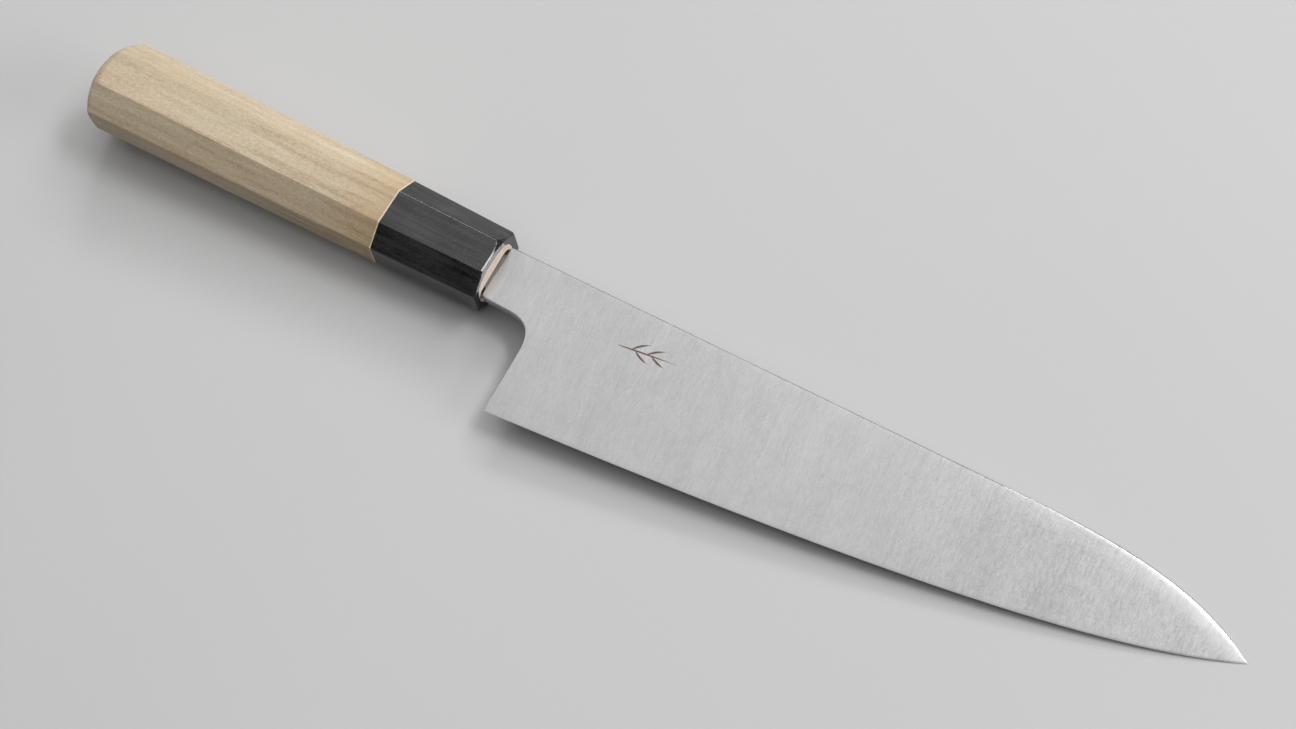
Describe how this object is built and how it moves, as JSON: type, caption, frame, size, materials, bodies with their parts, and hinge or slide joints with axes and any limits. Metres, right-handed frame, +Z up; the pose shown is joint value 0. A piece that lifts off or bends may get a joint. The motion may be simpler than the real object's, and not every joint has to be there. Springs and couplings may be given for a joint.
{
  "type": "chef knife",
  "caption": "Long kitchen knife with a thin tapering blade, an octagonal wooden handle and a dark horn ferrule, lying on its side, for slicing and chopping food by hand.",
  "frame": {"origin": "the middle of the knife's footprint, on the table that it lies on", "axes": "+X along the knife from the butt to the tip, +Y across the blade towards the spine, +Z up from the table, out of the blade's right side"},
  "size_m": [0.3614, 0.05, 0.0253],
  "materials": {
    "blade_steel": "fine satin, brushed from spine to edge",
    "horn": "polished black horn",
    "core_wood": "sanded end grain",
    "handle_wood": "smooth sanded, unvarnished",
    "resin": "cured resin"
  },
  "bodies": {
    "root": {"blade": "blade_steel", "ferrule": "horn", "ferrule_core": "core_wood", "handle_body": "handle_wood", "tang_adhesive": "resin"}
  },
  "joints": []
}
